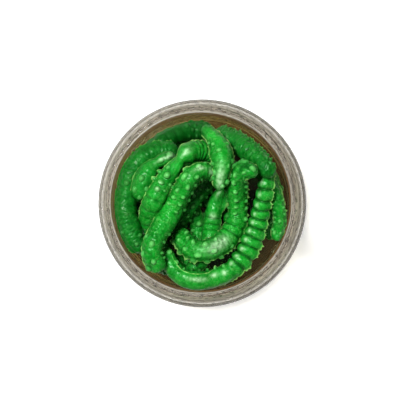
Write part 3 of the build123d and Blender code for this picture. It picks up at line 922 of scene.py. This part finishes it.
def worm_material():
    """Soft glossy plastic, with a fine grain, and rougher where the painted shade stands for oil that has got
    in.
    """
    material, tree, output = new_material("worm_plastisol")
    place = add(tree, "TexCoord").outputs["Object"]
    mottle = noise(tree, place, *MOTTLE_NOISE)
    grain = noise(tree, place, *GRAIN_NOISE)
    wander = noise(tree, place, *CREASE_NOISE)
    from_crease = maths(tree, "ABSOLUTE", maths(tree, "SUBTRACT", wander, 0.5))
    crease = spread(tree, from_crease, *CREASE_RANGE)
    shade_and_soak = attribute(tree, "shade_and_soak")

    rough = spread(tree, mottle, *WORM_ROUGHNESS)
    rough = maths(tree, "ADD", rough, times(tree, shade_and_soak, SOAKED_ROUGHNESS))
    relief = times(tree, mottle, MOTTLE_RELIEF)
    relief = maths(tree, "ADD", relief, times(tree, grain, GRAIN_RELIEF))
    relief = maths(tree, "ADD", relief, times(tree, crease, CREASE_RELIEF))
    bump = add(tree, "Bump", Height=relief, **WORM_BUMP).outputs["Normal"]
    green = worm_colour(tree, place, mottle, crease, shade_and_soak)
    plastic = add(tree, "BsdfPrincipled", Base_Color=green, Roughness=rough, Normal=bump, **WORM_SHINE)
    tree.links.new(plastic.outputs[0], output.inputs["Surface"])
    return material


# ---- Tub material ------------------------------------------------------------

TUB_SHADOW = (0.90, 0.89, 0.86, 1)
TUB_GLASS = dict(Base_Color=(0.90, 0.88, 0.82, 1), Transmission_Weight=1.0, IOR=1.49)

FLOW_NOISE = (60.0, 3.0)
FLOW_ROUGHNESS = (0.3, 0.7, 0.04, 0.12)
FINE_NOISE = (700.0, 3.0)
TUB_BUMP = dict(Strength=0.25, Distance=0.0002)

# Rings and marks on the rim. A radian counts for these few metres of noise, so they run round the rim.
RING_NOISE = (3300.0, 2.0)
RING_STRETCH = 0.0006
RING_RANGE = (0.38, 0.62)
RING_DARK = (0.12, 0.097, 0.070, 1)
RING_PALE = (0.51, 0.455, 0.37, 1)
MARK_NOISE = (2600.0, 3.0)
MARK_STRETCH = 0.006
MARK_RANGE = (0.51, 0.56, 0.0, 0.85)
MARK_BROWN = (0.05, 0.04, 0.03, 1)

# The painted highlight along the lip's inner edge, a light line: its radius, and how far from it the line
# starts and is full
LIP_HIGHLIGHT_RADIUS = 27.78
LIP_HIGHLIGHT_BAND = (0.22, 0.06)
LIP_HIGHLIGHT_PALE = (0.68, 0.65, 0.56, 1)

# The rim's paler outer band and its milky edge: the radii where each starts and is full, and its share there
OUTER_BAND = (29.3, 30.0, 0.5)
OUTER_PALE = (0.48, 0.46, 0.40, 1)
MILKY_BAND = (29.0, 29.8, 0.5)

# The milky edge is only on the lip and the top of the thread. The brown oil film is only inside the neck.
MILKY_BOTTOM = TUB_HEIGHT - 6.0
FILM_BOTTOM = TUB_HEIGHT - NECK_HEIGHT - SHOULDER_HEIGHT + 0.5
FILM_RADIUS = BORE_RADIUS + 0.05
FILM_BROWN = (0.24, 0.122, 0.048, 1)

# Haze by how level the surface is, the film's by how glancing the view is, and its share that glows through
LEVEL_HAZE = (0.0, 1.0, 0.04, 0.66)
FILM_HAZE = (0.45, 0.95, 0.10, 0.84)
GLOW_SHARE = 0.4


def rim_colour(tree, parts, across, inside):
    """Beige rings, dark marks, a painted highlight along the mouth, a paler outer band, and brown inside the
    neck.
    """
    around = maths(tree, "ARCTAN2", parts["Y"], parts["X"])
    ring_place = add(tree, "CombineXYZ", X=across, Y=times(tree, around, RING_STRETCH)).outputs[0]
    mark_place = add(tree, "CombineXYZ", X=across, Y=times(tree, around, MARK_STRETCH)).outputs[0]
    rings = spread(tree, noise(tree, ring_place, *RING_NOISE), *RING_RANGE)
    marks = spread(tree, noise(tree, mark_place, *MARK_NOISE), *MARK_RANGE)
    from_lip_highlight = maths(tree, "ABSOLUTE", maths(tree, "SUBTRACT", across, LIP_HIGHLIGHT_RADIUS * MM))
    colour = blend_colours(tree, rings, RING_DARK, RING_PALE)
    colour = blend_colours(tree, marks, colour, MARK_BROWN)
    # A painted highlight along the lip's inner edge
    colour = blend_colours(tree, band(tree, from_lip_highlight, *LIP_HIGHLIGHT_BAND), colour, LIP_HIGHLIGHT_PALE)
    colour = blend_colours(tree, band(tree, across, *OUTER_BAND), colour, OUTER_PALE)
    return blend_colours(tree, inside, colour, FILM_BROWN)


def haze_amount(tree, parts, across, inside):
    """How much cloud lies over the clear plastic: most on flat places, the outer rim and the oily neck.

    A film is seen through a greater thickness at a glancing angle, so it's denser there.
    """
    glancing = add(tree, "LayerWeight", Blend=0.5).outputs["Facing"]
    in_neck = maths(tree, "GREATER_THAN", parts["Z"], FILM_BOTTOM * MM)
    film = times(tree, times(tree, inside, in_neck), spread(tree, glancing, *FILM_HAZE))
    near_lip = maths(tree, "GREATER_THAN", parts["Z"], MILKY_BOTTOM * MM)
    milky = times(tree, band(tree, across, *MILKY_BAND), near_lip)
    level = spread(tree, levelness(tree), *LEVEL_HAZE)
    return maths(tree, "MAXIMUM", maths(tree, "MAXIMUM", level, film), milky)


def tub_material():
    """Clear moulded plastic with a cloudy, ringed rim, which lets light pass without a hard shadow."""
    material, tree, output = new_material("clear_plastic_shell")
    place = add(tree, "TexCoord").outputs["Object"]
    parts = add(tree, "SeparateXYZ", Vector=place).outputs
    across = distance_from_axis(tree, parts)
    inside = maths(tree, "LESS_THAN", across, FILM_RADIUS * MM)

    bump = add(tree, "Bump", Height=noise(tree, place, *FINE_NOISE), **TUB_BUMP).outputs["Normal"]
    rough = spread(tree, noise(tree, place, *FLOW_NOISE), *FLOW_ROUGHNESS)
    glass = add(tree, "BsdfPrincipled", Roughness=rough, Normal=bump, **TUB_GLASS)

    colour = rim_colour(tree, parts, across, inside)
    cloud = add(tree, "BsdfDiffuse", Color=colour, Normal=bump)
    glow = add(tree, "BsdfTranslucent", Color=colour, Normal=bump)
    haze = blend_shaders(tree, GLOW_SHARE, cloud, glow)
    hazed = blend_shaders(tree, haze_amount(tree, parts, across, inside), glass, haze)
    in_shadow = add(tree, "LightPath").outputs["Is Shadow Ray"]
    clear = add(tree, "BsdfTransparent", Color=TUB_SHADOW)
    mixed = blend_shaders(tree, in_shadow, hazed, clear)
    tree.links.new(mixed.outputs[0], output.inputs["Surface"])
    return material


# ---- Oil material ------------------------------------------------------------

OIL_CLEAR = (0.97, 0.95, 0.88, 1)
OIL_BY_WALL = (0.060, 0.040, 0.010, 1)
# The dark green in the middle is painted shade, for the shaded gaps between the worms
OIL_SHADE_IN_MIDDLE = (0.001, 0.030, 0.005, 1)
OIL_DEPTH_COLOUR = (0.80, 0.74, 0.20, 1)
OIL_DENSITY = 110.0

# The radii between which the oil's top turns from brown murk to the dark green of painted shade, and how much
# of the top the murk and shade cover by how far in it is
OIL_SHADE_BAND = (25.0, 19.0)
OIL_MURK_AND_SHADE = (0.0, 1.0, 0.55, 0.92)

# The height and levelness above which the skin counts as the oil's top
OIL_TOP_FROM = 8.0
OIL_TOP_LEVEL = 0.7

# The gloss, and the ripples that bend it
OIL_GLOSS = (0.55, 0.60, 0.45, 1)
OIL_ROUGHNESS = 0.12
OIL_IOR = 1.40
RIPPLE_NOISE = (220.0, 2.0)
RIPPLE_BUMP = dict(Strength=0.1, Distance=0.0006)


def oil_material():
    """Clear oil that darkens with depth. Its top is covered with brown by the wall and with dark green
    painted shade in the middle, where the gaps between the worms are shaded.
    """
    material, tree, output = new_material("attractant_oil")
    place = add(tree, "TexCoord").outputs["Object"]
    parts = add(tree, "SeparateXYZ", Vector=place).outputs
    middle = band(tree, distance_from_axis(tree, parts), *OIL_SHADE_BAND)
    flat = maths(tree, "GREATER_THAN", levelness(tree), OIL_TOP_LEVEL)
    high = maths(tree, "GREATER_THAN", parts["Z"], OIL_TOP_FROM * MM)
    top = times(tree, flat, high)

    clear = add(tree, "BsdfTransparent", Color=OIL_CLEAR)
    # Painted shade in the middle of the oil's top, and brown murk by the wall
    murk_and_shade = add(tree, "BsdfDiffuse", Color=blend_colours(tree, middle, OIL_BY_WALL, OIL_SHADE_IN_MIDDLE))
    murky_and_shaded = blend_shaders(tree, times(tree, top, spread(tree, middle, *OIL_MURK_AND_SHADE)), clear, murk_and_shade)

    ripple = noise(tree, place, *RIPPLE_NOISE)
    bump = add(tree, "Bump", Height=ripple, **RIPPLE_BUMP).outputs["Normal"]
    gloss = add(tree, "BsdfGlossy", Color=OIL_GLOSS, Roughness=OIL_ROUGHNESS, Normal=bump)
    mirror = add(tree, "Fresnel", IOR=OIL_IOR, Normal=bump).outputs[0]
    mixed = blend_shaders(tree, mirror, murky_and_shaded, gloss)
    tree.links.new(mixed.outputs[0], output.inputs["Surface"])
    depth = add(tree, "VolumeAbsorption", Color=OIL_DEPTH_COLOUR, Density=OIL_DENSITY)
    tree.links.new(depth.outputs[0], output.inputs["Volume"])
    return material


# ---- Pieces ------------------------------------------------------------------


def build_worms():
    plastic = worm_material()
    for number, (line, radii) in enumerate(lay_worms(), start=1):
        node = f"worm_{number:02d}"
        mesh = tube_mesh(f"{node}_skin", *worm_surface(number, line, radii))
        add_piece(f"{node}_skin", mesh, node, plastic, node)


def build_oil():
    """The oil, which stays in the tub. Its points are turned about, so that its faces look outward."""
    points = lathe_points(oil_outline(), OIL_SIDES)[:, ::-1]
    add_piece("oil_fill", tube_mesh("oil_fill", points, {}), "tub", oil_material(), "oil")


def dress_tub():
    plastic = tub_material()
    for material_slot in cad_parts["tub"].material_slots:
        material_slot.material = plastic


build_worms()
build_oil()
dress_tub()


# ---- Floor, light and camera -------------------------------------------------

WHITE = (1, 1, 1, 1)

# Lengths here are in metres.
FLOOR_SIZE = 3.0
FLOOR_BELOW = 0.00005
FLOOR_NOISE = (3.0, 3.0)
FLOOR_TONES = ((0.90, 0.90, 0.90, 1), (0.92, 0.92, 0.92, 1))
FLOOR_PAPER = dict(Roughness=0.9, Emission_Color=WHITE, Emission_Strength=0.45)

KEY_PLACE = (-0.20, 0.17, 0.68)
KEY_AIM = (0, 0, 0.03)
KEY_SIZE = 0.18
KEY_POWER = 6.0

# The sky's strength at the horizon and from this height up, as a share of straight up
SKY_STRENGTH = (0.6, 0.2)
SKY_EVEN_FROM = 0.4

CAMERA_PLACE = (0.0115, -0.0082, 0.540)
CAMERA_AIM = (-0.00026, 0.00069, 0.040)
CAMERA_LENS = 147.2
CAMERA_SENSOR = 36

# How many clear surfaces light may cross
CLEAR_LAYERS = 32


def floor_material():
    material, tree, output = new_material("studio_floor")
    place = add(tree, "TexCoord").outputs["Object"]
    tone = blend_colours(tree, noise(tree, place, *FLOOR_NOISE), *FLOOR_TONES)
    paper = add(tree, "BsdfPrincipled", Base_Color=tone, **FLOOR_PAPER)
    tree.links.new(paper.outputs[0], output.inputs["Surface"])
    return material


def add_floor():
    bpy.ops.mesh.primitive_plane_add(size=FLOOR_SIZE, location=(0, 0, -FLOOR_BELOW))
    floor = bpy.context.object
    floor.name = "studio_floor"
    floor.data.materials.append(floor_material())


def add_key_light():
    lamp = bpy.data.lights.new("key_light", "AREA")
    lamp.shape = "DISK"
    lamp.size = KEY_SIZE
    lamp.energy = KEY_POWER
    light = bpy.data.objects.new("key_light", lamp)
    light.location = KEY_PLACE
    light.rotation_euler = (Vector(KEY_AIM) - Vector(KEY_PLACE)).to_track_quat("-Z", "Y").to_euler()
    bpy.context.scene.collection.objects.link(light)


def add_sky():
    world = bpy.data.worlds.new("studio")
    bpy.context.scene.world = world
    world.use_nodes = True
    tree = world.node_tree
    backdrop = tree.nodes["Background"]
    backdrop.inputs["Color"].default_value = WHITE
    direction = add(tree, "TexCoord").outputs["Generated"]
    height = add(tree, "SeparateXYZ", Vector=direction).outputs["Z"]
    tree.links.new(spread(tree, height, 0.0, SKY_EVEN_FROM, *SKY_STRENGTH), backdrop.inputs["Strength"])


def add_camera():
    """A camera that looks down at the tub with +Y up in its picture."""
    lens = bpy.data.cameras.new("camera")
    lens.lens = CAMERA_LENS
    lens.sensor_width = CAMERA_SENSOR
    camera = bpy.data.objects.new("camera", lens)
    camera.location = CAMERA_PLACE
    backward = (camera.location - Vector(CAMERA_AIM)).normalized()
    rightward = Vector((0, 1, 0)).cross(backward).normalized()
    turned = Matrix((rightward, backward.cross(rightward), backward)).transposed()
    camera.rotation_euler = turned.to_euler()
    bpy.context.scene.collection.objects.link(camera)
    bpy.context.scene.camera = camera


add_floor()
add_key_light()
add_sky()
add_camera()
bpy.context.scene.view_settings.view_transform = "Standard"
bpy.context.scene.cycles.transparent_max_bounces = CLEAR_LAYERS
